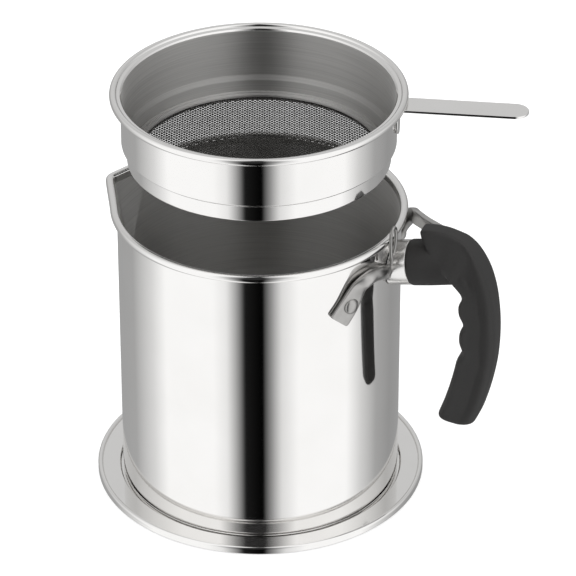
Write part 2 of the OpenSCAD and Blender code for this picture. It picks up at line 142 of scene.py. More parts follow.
class Finishes(bpy.types.PropertyGroup):
    steel_light: tint("Steel, light", "Polished stainless steel where it is cleanest", "#F4F3F2")
    steel_dark: tint("Steel, dark", "Polished stainless steel where it is a little hazed", "#EBEAE8")
    brushed_light: tint("Brushed, light", "Ridge of a brush line in stainless steel", "#E6E5E3")
    brushed_dark: tint("Brushed, dark", "Bottom of a brush line in stainless steel", "#C4C3C1")
    wire: tint("Wire", "Drawn stainless wire", "#4A4947")
    wire_bright: tint("Wire, bright", "Drawn stainless wire where it is rubbed", "#6E6D6B")
    bakelite: tint("Bakelite", "Moulded phenolic", "#201F1F")
    bakelite_grain: tint("Bakelite grain", "Filler grain in the moulded phenolic", "#2E2D2C")
    rod_light: tint("Rod, light", "Satin steel rod", "#C8C7C5")
    rod_dark: tint("Rod, dark", "Satin steel rod where it is duller", "#9E9D9B")
    brass: tint("Brass", "Turned brass of the insert", "#B8954A")
    brass_dark: tint("Brass, dark", "Turned brass of the insert where it is duller", "#9C7C3A")


class StudioSettings(bpy.types.PropertyGroup):
    focal: FloatProperty(name="Focal length", description="Camera lens in millimetres on a 36 mm sensor",
                         default=229.06, subtype="DISTANCE_CAMERA")
    camera: FloatVectorProperty(name="Camera", description="Place of the camera",
                                subtype="XYZ", unit="LENGTH", default=(0.48968, -1.30874, 0.92829))
    turn: degrees("Camera turn", "Azimuth of the camera", 20)
    tilt: degrees("Camera tilt", "Elevation of the camera", 30.89)
    floor: size("Floor", "Half of the floor's width", 4.0)


def settings():
    """The scene, which holds each group of sizes."""
    return bpy.context.scene


def wall_radius():
    """Outside radius of the pot's wall."""
    return settings().grease_pot.inside + settings().grease_pot.wall


# ---- outlines and surfaces ----


def unit(vectors):
    """Vectors brought to length 1."""
    return vectors / np.linalg.norm(vectors, axis=-1, keepdims=True)


def spun(points, angle):
    """Points turned about the Z axis: (x cos a - y sin a, x sin a + y cos a, z)."""
    x, y, z = np.moveaxis(points, -1, 0)
    cosine, sine = math.cos(angle), math.sin(angle)
    return np.stack((x * cosine - y * sine, x * sine + y * cosine, z), axis=-1)


def arc(centre, radius, start, end, steps):
    """Points on a circle from one angle to the other, in degrees: centre + radius (cos a, sin a)."""
    angle = np.radians(np.linspace(start, end, steps))
    return np.stack((centre[0] + radius * np.cos(angle), centre[1] + radius * np.sin(angle)), axis=-1)


def rounded(corners, steps=7):
    """Outline through the corners (x, y, fillet): a fillet becomes an arc tangent to both sides."""
    spots = np.array([corner[:2] for corner in corners])
    outline = []
    for i, (*_, fillet) in enumerate(corners):
        if fillet == 0 or i in (0, len(corners) - 1):
            outline.append(spots[i:i + 1])
            continue
        back, ahead = unit(spots[i - 1] - spots[i]), unit(spots[i + 1] - spots[i])
        half = math.acos(np.clip(back @ ahead, -1, 1)) / 2
        centre = spots[i] + unit(back + ahead) * fillet / math.sin(half)
        start = spots[i] + back * fillet / math.tan(half) - centre
        side = -np.sign(back[0] * ahead[1] - back[1] * ahead[0])
        angle = side * np.linspace(0, math.pi - 2 * half, steps)
        outline.append(centre + np.stack((start[0] * np.cos(angle) - start[1] * np.sin(angle),
                                          start[0] * np.sin(angle) + start[1] * np.cos(angle)), axis=-1))
    return np.concatenate(outline)


def braced(outline, edge=0.15 * MM, longest=6 * MM):
    """The outline with a point just inside each end of its long sides, which keeps their shading flat."""
    pieces = [outline[:1]]
    for start, end in zip(outline[:-1], outline[1:]):
        length = np.linalg.norm(end - start)
        if length > 6 * edge:
            share = edge / length
            inner = np.linspace(share, 1 - share, max(2, int(length / longest) + 1))
            pieces.append(start + inner[:, None] * (end - start))
        pieces.append(end[None])
    return np.concatenate(pieces)


def turned(outline, segments=320):
    """Grid of points: the outline (r, z) turned about the Z axis, as (r cos a, r sin a, z)."""
    angle = np.linspace(0, FULL_TURN, segments, endpoint=False)
    radius = outline[:, :1]
    height = np.repeat(outline[:, 1:], segments, axis=1)
    return np.stack((radius * np.cos(angle), radius * np.sin(angle), height), axis=-1)


def placed(points, centre, axis, side):
    """Points turned so that their Z lies along axis and their X along side, then moved to the centre."""
    along = unit(np.array(axis))
    across = unit(np.array(side) - (np.array(side) @ along) * along)
    third = np.cross(along, across)
    return np.array(centre) + points @ np.stack((across, third, along))


def catmull(points, u):
    """Catmull-Rom curve through the points, at the values u from 0 to the number of points less one."""
    points = np.asarray(points, float)
    last = len(points) - 1
    i = np.minimum(np.floor(u).astype(int), last - 1)
    t = (u - i)[:, None]
    a, b, c, d = (points[np.clip(i + k, 0, last)] for k in (-1, 0, 1, 2))
    square, cube = (2 * a - 5 * b + 4 * c - d) * t ** 2, (3 * b - a - 3 * c + d) * t ** 3
    return 0.5 * (2 * b + (c - a) * t + square + cube)


def superellipse(squareness, count):
    """Points (x, y) with |x|^n + |y|^n = 1, for each squareness n of a column: shape (rows, count, 2)."""
    angle = np.linspace(0, FULL_TURN, count, endpoint=False)
    power = 2 / np.atleast_1d(squareness)[:, None]
    waves = (np.cos(angle), np.sin(angle))
    return np.stack([np.sign(wave) * np.abs(wave) ** power for wave in waves], axis=-1)


def grid_faces(rows, columns, wrap_rows=False, wrap_columns=True):
    """Four corners of each cell of a grid whose points are numbered row by row."""
    index = np.arange(rows * columns).reshape(rows, columns)
    if wrap_rows:
        index = np.vstack((index, index[:1]))
    if wrap_columns:
        index = np.hstack((index, index[:, :1]))
    return np.stack((index[:-1, :-1], index[:-1, 1:], index[1:, 1:], index[1:, :-1]), axis=-1).reshape(-1, 4)


def make_mesh(name, points, faces, materials, face_material=None, merge=1e-7):
    """A piece from points and four-cornered faces. Points that coincide are merged; faces point outwards."""
    mesh = bpy.data.meshes.new(name)
    mesh.vertices.add(len(points))
    mesh.vertices.foreach_set("co", np.ascontiguousarray(points, np.float32).ravel())
    mesh.loops.add(faces.size)
    mesh.loops.foreach_set("vertex_index", faces.astype(np.int32).ravel())
    mesh.polygons.add(len(faces))
    mesh.polygons.foreach_set("loop_start", np.arange(0, faces.size, 4, dtype=np.int32))
    if face_material is not None:
        mesh.polygons.foreach_set("material_index", face_material.astype(np.int32))
    mesh.update(calc_edges=True)
    shape = bmesh.new()
    shape.from_mesh(mesh)
    bmesh.ops.remove_doubles(shape, verts=shape.verts, dist=merge)
    bmesh.ops.dissolve_degenerate(shape, edges=shape.edges, dist=merge)
    bmesh.ops.recalc_face_normals(shape, faces=shape.faces)
    for face in shape.faces:
        face.smooth = True
    shape.to_mesh(mesh)
    shape.free()
    for material in materials:
        mesh.materials.append(material)
    piece = bpy.data.objects.new(name, mesh)
    bpy.context.scene.collection.objects.link(piece)
    return piece


def surface(name, grid, materials, strip_material=None, wrap_rows=False):
    """A piece from a grid of points that closes round its columns; strip_material gives each row's finish."""
    rows, columns = grid.shape[:2]
    faces = grid_faces(rows, columns, wrap_rows)
    finish = None if strip_material is None else np.repeat(strip_material, columns)
    return make_mesh(name, grid.reshape(-1, 3), faces, materials, finish)


def dress(piece, body, slot, *nodes):
    """Fixes a piece to its body and lets it stand for the solids it covers. The slot is not used."""
    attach(piece, body)
    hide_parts(*nodes)


# ---- finishes ----


def linear(code):
    """Linear colour of an sRGB hex value: c / 12.92 below 0.04045, ((c + 0.055) / 1.055)^2.4 above."""
    values = [int(code.lstrip("#")[i:i + 2], 16) / 255 for i in (0, 2, 4)]
    return tuple(c / 12.92 if c <= 0.04045 else ((c + 0.055) / 1.055) ** 2.4 for c in values) + (1.0,)


def add(tree, kind, inputs=None, **properties):
    """Adds a node with its properties and gives each named or numbered input a value or a link."""
    made = tree.nodes.new(kind)
    for name, value in properties.items():
        setattr(made, name, value)
    for socket, value in (inputs or {}).items():
        if isinstance(value, bpy.types.NodeSocket):
            tree.links.new(value, made.inputs[socket])
        else:
            made.inputs[socket].default_value = value
    return made


def noded(name, build):
    """The material of this name, made once: build(tree, looks) adds its nodes and returns the last shader."""
    material = bpy.data.materials.get(name)
    if material is None:
        material = bpy.data.materials.new(name)
        material.use_nodes = True
        tree = material.node_tree
        tree.nodes.clear()
        last = build(tree, settings().grease_finish)
        add(tree, "ShaderNodeOutputMaterial", {0: last.outputs[0]})
    return material


def metal(tree, colour, roughness, sockets=None):
    """Shader of a bare metal."""
    return add(tree, "ShaderNodeBsdfPrincipled",
               {"Base Color": colour, "Metallic": 1.0, "Roughness": roughness, **(sockets or {})})


def turned_lines(tree, spacing, drift):
    """Fine lines that run round the pot's axis: noise over radius + height, which drifts slowly round."""
    place = add(tree, "ShaderNodeTexCoord").outputs["Object"]
    split = add(tree, "ShaderNodeSeparateXYZ", {0: place})
    flat = add(tree, "ShaderNodeCombineXYZ", {0: split.outputs[0], 1: split.outputs[1]}).outputs[0]
    radius = add(tree, "ShaderNodeVectorMath", {0: flat}, operation="LENGTH").outputs["Value"]
    across = add(tree, "ShaderNodeMath", {0: radius, 1: split.outputs[2]}, operation="ADD").outputs[0]
    fine = add(tree, "ShaderNodeMath", {0: across, 1: 1 / spacing}, operation="MULTIPLY").outputs[0]
    slow = add(tree, "ShaderNodeVectorMath", {0: place, 1: (drift, drift, 0)}, operation="MULTIPLY")
    step = add(tree, "ShaderNodeCombineXYZ", {2: fine})
    where = add(tree, "ShaderNodeVectorMath", {0: slow.outputs[0], 1: step.outputs[0]}, operation="ADD")
    noise = add(tree, "ShaderNodeTexNoise", {"Vector": where.outputs[0], "Scale": 1.0, "Detail": 2.0})
    return noise.outputs["Fac"]


def haze(tree, grain, detail=3.0):
    """Soft cloudy pattern whose blobs are about as wide as the grain."""
    place = add(tree, "ShaderNodeTexCoord").outputs["Object"]
    noise = add(tree, "ShaderNodeTexNoise", {"Vector": place, "Scale": 1 / grain, "Detail": detail})
    return noise.outputs["Fac"]


def ranged(tree, value, low, high):
    """A value from 0 to 1 stretched from low to high."""
    return add(tree, "ShaderNodeMapRange", {"Value": value, "To Min": low, "To Max": high}).outputs["Result"]


def two_tone(tree, value, dark, light):
    """Colour between two hex values."""
    mix = add(tree, "ShaderNodeMix", {0: value, 6: linear(dark), 7: linear(light)}, data_type="RGBA")
    return mix.outputs[2]


def relief(tree, height, strength, depth):
    """Normal of a surface whose relief follows the height."""
    return add(tree, "ShaderNodeBump", {"Strength": strength, "Distance": depth, "Height": height}).outputs[0]


def polished_stainless():
    """Stainless 304, mirror polished on a wheel that ran round it: clean, with a breath of haze."""
    def build(tree, looks):
        cloud = haze(tree, 30 * MM)
        lines = turned_lines(tree, 0.35 * MM, 12.0)
        return metal(tree, two_tone(tree, cloud, looks.steel_dark, looks.steel_light),
                     ranged(tree, cloud, 0.045, 0.085), {"Normal": relief(tree, lines, 0.02, 0.01 * MM)})
    return noded("polished_stainless", build)


def brushed_stainless(name, low, high):
    """Stainless 304 as the abrasive belt left it: fine lines round the wall, and a sheen that runs up it.

    The roughness goes from low to high with the lines. Its blur lies across them, a quarter turn from the
    direction round the axis.
    """
    def build(tree, looks):
        lines = turned_lines(tree, 0.5 * MM, 25.0)
        along = add(tree, "ShaderNodeTangent", direction_type="RADIAL", axis="Z").outputs[0]
        return metal(tree, two_tone(tree, lines, looks.brushed_dark, looks.brushed_light),
                     ranged(tree, lines, low, high),
                     {"Anisotropic": 0.95, "Anisotropic Rotation": 0.25, "Tangent": along,
                      "Normal": relief(tree, lines, 0.1, 0.02 * MM)})
    return noded(name, build)


def brushed_inside():
    """The pot's inside, brushed fine: dark, because it mirrors its own depth."""
    return brushed_stainless("brushed_inside", 0.36, 0.48)


def brushed_band():
    """The strainer's inside, brushed coarser: it catches more of the light above it."""
    return brushed_stainless("brushed_band", 0.54, 0.62)


def satin_rod():
    """Drawn stainless rod, tumbled after bending: a soft satin, a little uneven."""
    def build(tree, looks):
        cloud = haze(tree, 5 * MM)
        grain = haze(tree, 0.5 * MM)
        return metal(tree, two_tone(tree, cloud, looks.rod_dark, looks.rod_light),
                     ranged(tree, cloud, 0.26, 0.34), {"Normal": relief(tree, grain, 0.05, 0.02 * MM)})
    return noded("satin_rod", build)


def satin_stainless():
    """Stainless 304 cup, satin finished with a fine wheel: bright, with soft reflections only."""
    def build(tree, looks):
        cloud = haze(tree, 8 * MM)
        return metal(tree, two_tone(tree, cloud, looks.steel_dark, looks.steel_light),
                     ranged(tree, cloud, 0.2, 0.28))
    return noded("satin_stainless", build)


def drawn_wire():
    """Drawn stainless wire, woven plain: grey with a dull gloss along each wire."""
    def build(tree, looks):
        cloud = haze(tree, 9 * MM)
        return metal(tree, two_tone(tree, cloud, looks.wire, looks.wire_bright),
                     ranged(tree, cloud, 0.34, 0.48))
    return noded("drawn_wire", build)


def moulded_bakelite():
    """Phenolic moulded in a grained tool: near black, matt, with a fine pebble that softens the light."""
    def build(tree, looks):
        grain = haze(tree, 0.45 * MM, 4.0)
        cloud = haze(tree, 14 * MM)
        return add(tree, "ShaderNodeBsdfPrincipled", {
            "Base Color": two_tone(tree, grain, looks.bakelite, looks.bakelite_grain),
            "Roughness": ranged(tree, cloud, 0.48, 0.58), "IOR": 1.5, "Specular IOR Level": 0.45,
            "Normal": relief(tree, grain, 0.3, 0.05 * MM)})
    return noded("moulded_bakelite", build)


def turned_brass():
    """Free-cutting brass as the lathe left it: warm, with a slightly dull and uneven gloss."""
    def build(tree, looks):
        grain = haze(tree, 0.4 * MM)
        return metal(tree, two_tone(tree, grain, looks.brass_dark, looks.brass),
                     ranged(tree, grain, 0.25, 0.4))
    return noded("turned_brass", build)


# ---- tray ----


class GREASE_OT_tray(bpy.types.Operator):
    """Make the shallow tray with its recess and rolled edge"""
    bl_idname = "grease.tray"
    bl_label = "Tray"

    def execute(self, context):
        tray = settings().grease_tray
        bead = tray.edge / 2
        bead_at = (tray.radius - bead, tray.height - bead)
        under = rounded([(0, 0, 0), (tray.radius - 0.3 * MM, 0, 0), (tray.radius, 0.3 * MM, 0)])
        roll = arc(bead_at, bead, 0, 177, 24)
        top = rounded([(roll[-1][0], tray.land, 0), (tray.recess + 0.5 * MM, tray.land, 0.45 * MM),
                       (tray.recess, tray.sheet, 0.3 * MM), (0, tray.sheet, 0)])
        outline = braced(np.concatenate((under, roll, top)))
        piece = surface("tray_dish", turned(outline), [polished_stainless()])
        dress(piece, "tray", "tray_steel", "tray")
        return {"FINISHED"}


# ---- pot ----


def lip_plan(pot, turn, share):
    """Distance of the inner wall from the axis, in the direction turn from the lip, at a share of its height.

    Each side of the lip is a flat whose distance from the axis grows from r cos h at its foot to r at the
    rim, so along a direction it lies at flat / cos(h - turn). Round wall and flats join in a smooth maximum.
    """
    tip_round = 0.016
    blend = 0.25 * MM
    half = pot.lip_half
    flat = pot.inside * (math.cos(half) + share * (1 - math.cos(half)))
    away = np.sqrt(turn ** 2 + tip_round ** 2)
    inside = np.maximum(half - away, 0)
    outside = np.maximum(away - half, 0)
    proud = flat / np.cos(inside) * np.cos(outside) - pot.inside
    return pot.inside + (proud + np.sqrt(proud ** 2 + blend ** 2)) / 2


class GREASE_OT_pot(bpy.types.Operator):
    """Make the pot: one skin from its underside over the rolled rim to the inside, with the pressed lip"""
    bl_idname = "grease.pot"
    bl_label = "Pot"

    def execute(self, context):
        pot = settings().grease_pot
        rim_z = pot.top - pot.rim
        lip_foot = rim_z - pot.lip_drop
        outer = wall_radius()
        tuck = math.degrees(math.acos((pot.wall - pot.rim) / pot.rim))
        roll = arc((pot.inside + pot.rim, rim_z), pot.rim, -tuck, 180, 36)
        # wall rows are close together over the lip's height and far apart below it
        lip_rows = np.linspace(lip_foot, rim_z - 2.2 * MM, 44)
        low = rounded([(0, pot.foot, 0), (outer, pot.foot, pot.corner), (outer, lip_foot, 0)], 12)
        outside_wall = np.stack((np.full_like(lip_rows, outer), lip_rows), axis=-1)
        inside_wall = np.stack((np.full_like(lip_rows, pot.inside), lip_rows[::-1]), axis=-1)
        floor_z = pot.foot + pot.floor
        inside_low = rounded([(pot.inside, lip_foot, 0), (pot.inside, floor_z, pot.corner - pot.wall),
                              (0, floor_z, 0)], 12)
        outline = np.concatenate((braced(low)[:-1], outside_wall, roll, inside_wall, braced(inside_low)[1:]))
        share = np.clip((outline[:, 1] - lip_foot) / pot.lip_drop, 0, 1)[:, None]
        # directions are closer together over the lip
        wide = np.linspace(pot.lip_half * 1.15, math.pi, 150)
        close = np.linspace(0, pot.lip_half * 1.15, 90, endpoint=False)
        turn = np.concatenate((-wide[::-1], -close[:0:-1], close, wide[:-1]))[None, :]
        plan = lip_plan(pot, turn, share)
        x, y = -plan * np.cos(turn), -plan * np.sin(turn)
        ahead_x, ahead_y = np.roll(x, -1, 1) - np.roll(x, 1, 1), np.roll(y, -1, 1) - np.roll(y, 1, 1)
        length = np.hypot(ahead_x, ahead_y)
        offset = outline[:, :1] - pot.inside
        grid = np.stack((x + offset * ahead_y / length, y - offset * ahead_x / length,
                         np.broadcast_to(outline[:, 1:], x.shape)), axis=-1)
        grid[0] = (0, 0, pot.foot)
        grid[-1] = (0, 0, floor_z)
        inner_from = len(outline) - len(inside_wall) - len(braced(inside_low)) + 1
        strip = (np.arange(len(outline) - 1) >= inner_from).astype(int)
        piece = surface("pot_body", grid, [polished_stainless(), brushed_inside()], strip)
        dress(piece, "pot", "pot_steel", "pot_shell")
        return {"FINISHED"}


# ---- handle ----


def on_wall(path):
    """Points (angle in degrees, height, radius) as x, y, z."""
    angle = np.radians(path[:, 0])
    return np.stack((path[:, 2] * np.cos(angle), path[:, 2] * np.sin(angle), path[:, 1]), axis=-1)


def bar(name, path, sizes, rings=160, sides=64, nose=1.2 * MM, nose_flat=0.82):
    """A bar along a path on the wall, with a superellipse (width, thickness, squareness) at each point.

    A ring at u is path(u) + x w/2 across + y t/2 away, where across is the cross product of the path's
    direction and the outward direction. The rings past the end shrink in a half circle to close the nose.
    """
    u = np.linspace(0, len(path) - 1, rings)
    where = catmull(path, u)
    centre = on_wall(where)
    along = unit(np.gradient(centre, axis=0))
    heading = np.radians(where[:, 0])
    out = np.stack((np.cos(heading), np.sin(heading), 0 * heading), axis=-1)
    across = unit(np.cross(along, out))
    away = np.cross(across, along)
    wide, thick, square = catmull(sizes, u).T
    section = superellipse(square, sides)
    rings_at = (centre[:, None] + section[..., :1] * (wide / 2)[:, None, None] * across[:, None]
                + section[..., 1:] * (thick / 2)[:, None, None] * away[:, None])
    angle = np.linspace(0, math.pi / 2, 10)[1:, None, None]
    shrink = nose_flat + (1 - nose_flat) * np.cos(angle)
    round_end = centre[-1] + along[-1] * nose * np.sin(angle) + (rings_at[-1] - centre[-1]) * shrink
    start = np.repeat(centre[:1, None], sides, axis=1)
    close = np.repeat(round_end[-1].mean(axis=0)[None, None], sides, axis=1)
    return surface(name, np.concatenate((start, rings_at, round_end, close)), [satin_rod()])


def neck_frame(handle):
    """Start and direction of the neck's axis."""
    rise = (handle.neck_x - wall_radius()) * math.tan(handle.neck_rise)
    direction = np.array((math.cos(handle.neck_rise), 0, math.sin(handle.neck_rise)))
    return np.array((handle.neck_x, 0, handle.neck_z + rise)), direction


def arm_paths(handle):
    """Path (angle, height, radius) and section (width, thickness, squareness) of each arm, front one first."""
    slip = 0.1 * MM
    wall = wall_radius() + slip
    turn = math.degrees(handle.rivet_turn)
    z, rod, plate, sheet = handle.rivet_z, handle.rod, handle.plate, handle.plate_sheet
    arm_r, plate_r, pot_r = wall + rod / 2, wall + sheet / 2, wall_radius()
    # the front rod is flattened where it passes behind the ferrule
    lap_r, lap = wall + 0.24 * rod, (rod * 1.05, rod * 0.42, 3)
    full, flat = (rod, rod, 2), (rod * 1.06, rod * 0.6, 5)
    # both arms end in the riveted plate
    end_size = ((plate * 0.84, sheet * 1.4, 2.8), (plate, sheet, 7), (plate, sheet, 7))
    front = np.array((
        (-4.5, handle.neck_z, lap_r), (-9, z + 5.2 * MM, lap_r), (-12.6, z + 7.7 * MM, wall + 0.36 * rod),
        (-17, z + 9.9 * MM, arm_r), (-21.5, z + 11 * MM, arm_r), (-25.5, z + 10.4 * MM, arm_r),
        (-28.6, z + 7.3 * MM, plate_r + 0.8 * MM), (-turn - 0.8, z, plate_r),
        (-turn - 4.8, z - 5.2 * MM, plate_r)))
    front_size = (lap, lap, (rod, rod * 0.68, 2.4), full, full, (rod * 1.1, rod * 0.95, 2)) + end_size
    rear = np.array((
        (4.6, z + 19.2 * MM, pot_r + 20.5 * MM), (8.6, z + 19.2 * MM, pot_r + 13.1 * MM),
        (13.4, z + 19.2 * MM, pot_r + 7.2 * MM), (18.5, z + 17.3 * MM, pot_r + 5.1 * MM),
        (23.5, z + 13.1 * MM, pot_r + 3.7 * MM), (28.6, z + 6.5 * MM, plate_r + 0.8 * MM),
        (turn + 0.8, z, plate_r), (turn + 4.8, z - 5.2 * MM, plate_r)))
    rear_size = (flat, flat, flat, flat, (rod * 1.2, rod * 0.58, 4)) + end_size
    return front, np.array(front_size), rear, np.array(rear_size)


class GREASE_OT_arms(bpy.types.Operator):
    """Make the two arms that are riveted to the wall"""
    bl_idname = "grease.arms"
    bl_label = "Arms"

    def execute(self, context):
        front, front_size, rear, rear_size = arm_paths(settings().grease_handle)
        dress(bar("front_arm_bar", front, front_size), "pot", "arm_steel", "front_arm")
        dress(bar("rear_arm_bar", rear, rear_size), "pot", "arm_steel", "rear_arm")
        return {"FINISHED"}


class GREASE_OT_rivets(bpy.types.Operator):
    """Make the two rivets, each with a domed head outside and a flatter head inside"""
    bl_idname = "grease.rivets"
    bl_label = "Rivets"

    def execute(self, context):
        handle = settings().grease_handle
        inside = settings().grease_pot.inside
        head, dome, shank, inner, sunk = handle.rivet_head, 1.9 * MM, 2 * MM, 1.1 * MM, 0.05 * MM
        face = wall_radius() + 0.1 * MM + handle.plate_sheet
        angle = np.radians(np.linspace(90, 0, 16))
        outer_head = np.stack((head * np.cos(angle), face + dome * np.sin(angle)), axis=-1)
        inner_head = np.stack((head * np.cos(angle[::-1]), inside - inner * np.sin(angle[::-1])), axis=-1)
        stem = np.array(((head, face - sunk), (shank, face - sunk), (shank, inside), (head, inside)))
        rivet = turned(braced(np.concatenate((outer_head, stem, inner_head))), 64)
        rivets = (("front_rivet_head", "front_rivet", -1), ("rear_rivet_head", "rear_rivet", 1))
        for name, node, side in rivets:
            turn = side * handle.rivet_turn
            grid = placed(rivet, (0, 0, handle.rivet_z), (math.cos(turn), math.sin(turn), 0), (0, 0, 1))
            dress(surface(name, grid, [satin_rod()]), "pot", "rivet_steel", node)
        return {"FINISHED"}


class GREASE_OT_ferrule(bpy.types.Operator):
    """Make the satin cup between the pot and the grip"""
    bl_idname = "grease.ferrule"
    bl_label = "Ferrule"

    def execute(self, context):
        handle = settings().grease_handle
        start, direction = neck_frame(handle)
        radius, length = handle.ferrule, handle.ferrule_length
        sheet, end, back, clear = 0.9 * MM, 2.6 * MM, -4 * MM, 0.4 * MM
        outline = braced(rounded([
            (0, back, 0), (radius, back, 0.3 * MM), (radius, length, 0.35 * MM),
            (radius - sheet, length, 0.3 * MM), (radius - sheet, end, 0.3 * MM), (0, end, 0)]),
            longest=0.4 * MM)
        grid = placed(turned(outline, 128), start, direction, (0, 0, 1))
        # the back is trimmed round to the wall: x is at least the root of R^2 - y^2, with R clear of the wall
        least = np.sqrt((wall_radius() + clear) ** 2 - grid[..., 1] ** 2)
        short = np.maximum(least - grid[..., 0], 0) / direction[0]
        grid = grid + short[..., None] * direction
        dress(surface("ferrule_cup", grid, [satin_stainless()]), "pot", "ferrule_steel", "handle_ferrule")
        return {"FINISHED"}


def grip_rings(handle):
    """Rings of the grip: outer and inner edge from their splines, the section a superellipse between them.

    A ring is middle + x half + y w, with x, y on the superellipse and half the vector from the middle to the
    outer edge. w is half the width, and shrinks to half the facet's from where the flanks begin to lean. The
    inner edge is pushed in by a power of a cosine at each finger groove.
    """
    outer = np.array(((11.6, 19.8), (16, 20.6), (22, 20.6), (27.6, 19.4), (32.2, 17.4), (36.9, 12.2),
                      (41.6, 3.6), (44.8, -6.4), (46.6, -18.4), (47.1, -30.4), (46.3, -42.4), (44.2, -54.4),
                      (41.4, -65), (38.6, -72))) * MM
    inner = np.array(((12.6, 16), (15.6, 11.4), (20.2, 6.6), (24.4, 2.6), (27.4, -0.6), (29.6, -4),
                      (30.4, -8.4), (30.5, -14.4), (30.8, -21.4), (30.9, -28.4), (30.5, -36.4), (28.3, -48.4),
                      (25.1, -60.6), (21.9, -70.2))) * MM
    # half the width, and half the width of the outer facet, at each station
    widths = np.array(((4.3, 4.2), (6.6, 4.3), (9, 4.4), (9.8, 4.6), (9.9, 5.2), (9.6, 6.4), (9.2, 7.2),
                       (9, 7.4), (9, 7.5), (9, 7.5), (8.8, 7.5), (8.5, 7.2), (8, 6.8), (7.6, 6.4))) * MM
    # squareness, and where across the section the flanks begin to lean: at once at the head, later below
    section = np.array(((7, -1), (8, -1), (8, -1), (8, -1), (8, -0.8), (8, -0.2), (7, 0.2), (6, 0.3),
                        (5, 0.3), (4.6, 0.3), (4.2, 0.3), (4, 0.3), (3.6, 0.3), (3.4, 0.3)))
    groove_from, groove_pitch, grooves, groove_power = -0.2 * MM, 14.2 * MM, 3, 1.6
    end_reach, end_flat, sides = 3.2 * MM, 0.3, 160
    u = np.linspace(0, len(outer) - 1, 240)
    outside, inside = catmull(outer, u), catmull(inner, u)
    depth = inside[:, 1]
    grooved = (depth < groove_from) & (depth > groove_from - grooves * groove_pitch)
    dip = (1 - np.cos(FULL_TURN * (depth - groove_from) / groove_pitch)) / 2
    inside[:, 0] += grooved * handle.groove * dip ** groove_power
    middle, half = (outside + inside) / 2, (outside - inside) / 2
    wide, facet = catmull(widths, u).T
    square, begin = catmull(section, u).T
    # the lower end is closed by rings that shrink in a half circle
    angle = np.linspace(0, math.pi / 2, 12)[1:]
    shrink = end_flat + (1 - end_flat) * np.cos(angle)
    tip = unit(middle[-1] - middle[-2]) * end_reach
    middle = np.concatenate((middle, middle[-1] + tip * np.sin(angle)[:, None]))
    half = np.concatenate((half, half[-1] * shrink[:, None]))
    wide, facet = (np.concatenate((row, row[-1] * shrink)) for row in (wide, facet))
    square, begin = (np.concatenate((row, np.full(len(angle), row[-1]))) for row in (square, begin))
    ring = superellipse(square, sides)
    flat = middle[:, None] + ring[..., :1] * half[:, None]
    lean = np.clip((ring[..., 0] - begin[:, None]) / (1 - begin[:, None]), 0, 1)
    across = wide[:, None] + (facet - wide)[:, None] * lean
    grid = np.stack((flat[..., 0], ring[..., 1] * across, flat[..., 1]), axis=-1)
    # the upper end is closed by a low bevel
    first, end = grid[0].mean(axis=0), grid[-1].mean(axis=0)
    bevel = np.array((-1, 0, 0.25)) * MM
    cap = np.stack([first + (grid[0] - first) * share + bevel * (1 - share) for share in (0, 0.5, 0.8)])
    return np.concatenate((cap, grid, np.broadcast_to(end, (1, sides, 3))))


class GREASE_OT_grip(bpy.types.Operator):
    """Make the moulded handle: neck, shoulder and grip in one skin with soft blends"""
    bl_idname = "grease.grip"
    bl_label = "Grip"

    def execute(self, context):
        handle = settings().grease_handle
        origin = np.array((wall_radius() + 1.1 * MM, 0, handle.neck_z))
        body = surface("grip_moulding", grip_rings(handle) + origin, [moulded_bakelite()])
        start, direction = neck_frame(handle)
        spigot, spigot_end, neck_end = handle.ferrule - 1 * MM, 2.8 * MM, 28.8 * MM
        shoulder = handle.ferrule_length + 0.1 * MM
        outline = braced(rounded([(0, spigot_end, 0), (spigot, spigot_end, 0.3 * MM), (spigot, shoulder, 0),
                                  (handle.neck, shoulder, 0.6 * MM), (handle.neck, neck_end, 0.5 * MM),
                                  (0, neck_end, 0)]), longest=2 * MM)
        barrel = turned(outline, 128)
        # its flanks draw in by a fifth, so that they run out into the grip's flanks
        fade_from, fade_by = 13 * MM, 0.2
        fade = np.clip((barrel[..., 2] - fade_from) / (neck_end - fade_from), 0, 1)
        barrel[..., 1] *= 1 - fade_by * fade * fade * (3 - 2 * fade)
        neck = surface("grip_neck", placed(barrel, start, direction, (0, 0, 1)), [moulded_bakelite()])
        join = body.modifiers.new("join", "BOOLEAN")
        join.operation, join.object, join.solver = "UNION", neck, "EXACT"
        remesh = body.modifiers.new("skin", "REMESH")
        remesh.mode, remesh.voxel_size, remesh.use_smooth_shade = "VOXEL", 0.36 * MM, True
        smooth = body.modifiers.new("smooth", "SMOOTH")
        smooth.factor, smooth.iterations = 0.5, 6
        shape = bpy.data.meshes.new_from_object(body.evaluated_get(context.evaluated_depsgraph_get()))
        body.modifiers.clear()
        body.data = shape
        bpy.data.objects.remove(neck)
        dress(body, "pot", "grip_bakelite", "handle_grip")
        return {"FINISHED"}


